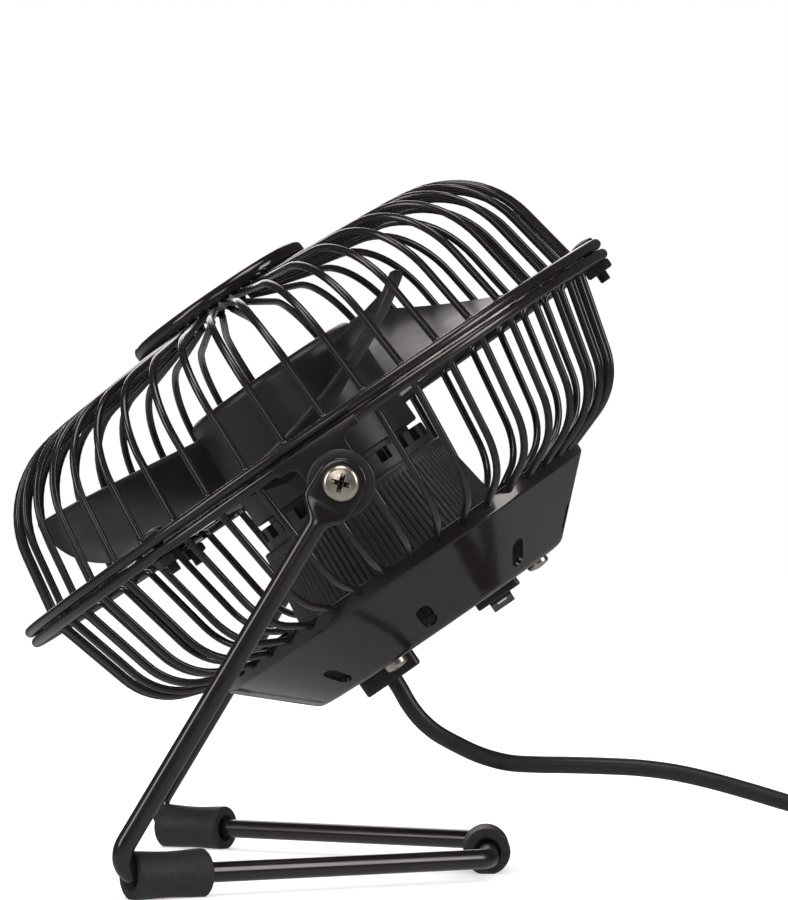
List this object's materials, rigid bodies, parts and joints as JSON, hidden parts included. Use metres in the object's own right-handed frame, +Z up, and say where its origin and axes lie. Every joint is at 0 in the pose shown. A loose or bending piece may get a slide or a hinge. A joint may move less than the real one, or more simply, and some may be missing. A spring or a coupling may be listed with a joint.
{
  "type": "desk fan",
  "caption": "Small desk fan with a round wire cage that tilts in a bent-rod stand, three blades, a rear cup with a rocker switch, and a lead ending in a flat plug.",
  "frame": {"origin": "on the surface the stand rests on, under the middle of the fan and stand without the cord", "axes": "+Z up, the fan faces -Y and upwards, +X along the tilt axis to the fan's left-hand pivot as one faces it from behind"},
  "size_m": [0.157, 0.2159, 0.1415],
  "materials": {
    "black_paint": "gloss black enamel",
    "cup_paint": "gloss black enamel",
    "dark_steel": "blackened steel",
    "nickel": "nickel plated",
    "steel": "plain",
    "rubber": "matte",
    "hub_plastic": "satin",
    "cover_plastic": "matte, ribbed",
    "switch_plastic": "satin",
    "spacer_plastic": "satin",
    "cord_jacket": "satin",
    "white_plastic": "satin",
    "copper": "enamelled wire",
    "brass": "plain",
    "magnet": "sintered",
    "lead_jacket": "satin"
  },
  "bodies": {
    "stand": {"stand_rod": "black_paint", "right_front_foot": "rubber", "left_front_foot": "rubber", "rear_foot": "rubber", "cord_run": "cord_jacket", "cord_coil": "cord_jacket", "cord_tie": "rubber", "cord_tail": "cord_jacket", "plug_grip": "cord_jacket", "plug_shell": "nickel", "plug_tongue": "white_plastic"},
    "head": {"front_ring": "black_paint", "front_wires": "black_paint", "front_disc": "black_paint", "front_badge": "black_paint", "rear_ring": "black_paint", "rear_wires": "black_paint", "rear_cup": "cup_paint", "front_clamp_tabs": "black_paint", "rear_clamp_tabs": "black_paint", "clamp_bolts": "dark_steel", "clamp_nuts": "dark_steel", "right_ear": "black_paint", "left_ear": "black_paint", "pivot_spacers": "spacer_plastic", "pivot_screws": "nickel", "pivot_nuts": "steel", "motor_can": "steel", "motor_end_cap": "white_plastic", "motor_magnets": "magnet", "front_bush": "brass", "rear_bush": "brass", "brushes": "brass", "motor_screws": "steel", "motor_cover": "cover_plastic", "cover_screws": "nickel", "switch_body": "switch_plastic", "switch_terminals": "brass", "cable_block": "switch_plastic", "cord_grip": "cord_jacket", "leads": "lead_jacket", "cord_drop": "cord_jacket"},
    "impeller": {"impeller": "hub_plastic", "motor_shaft": "steel", "armature_core": "steel", "armature_windings": "copper", "commutator": "copper"},
    "rocker": {"switch_rocker": "switch_plastic"}
  },
  "joints": [
    {"name": "tilt", "type": "hinge", "parent": "stand", "child": "head", "pos_m": [0, 0.00635, 0.0792], "axis": [1, 0, 0], "range_deg": [-35, 71]},
    {"name": "impeller_spin", "type": "hinge", "parent": "head", "child": "impeller", "pos_m": [0, 0.00057, 0.08761], "axis": [0, -0.5664, 0.8241], "continuous": true},
    {"name": "rocker_tilt", "type": "hinge", "parent": "head", "child": "rocker", "pos_m": [0, 0.037, 0.05755], "axis": [0, 0.8241, 0.5664], "range_deg": [0, 20]}
  ]
}
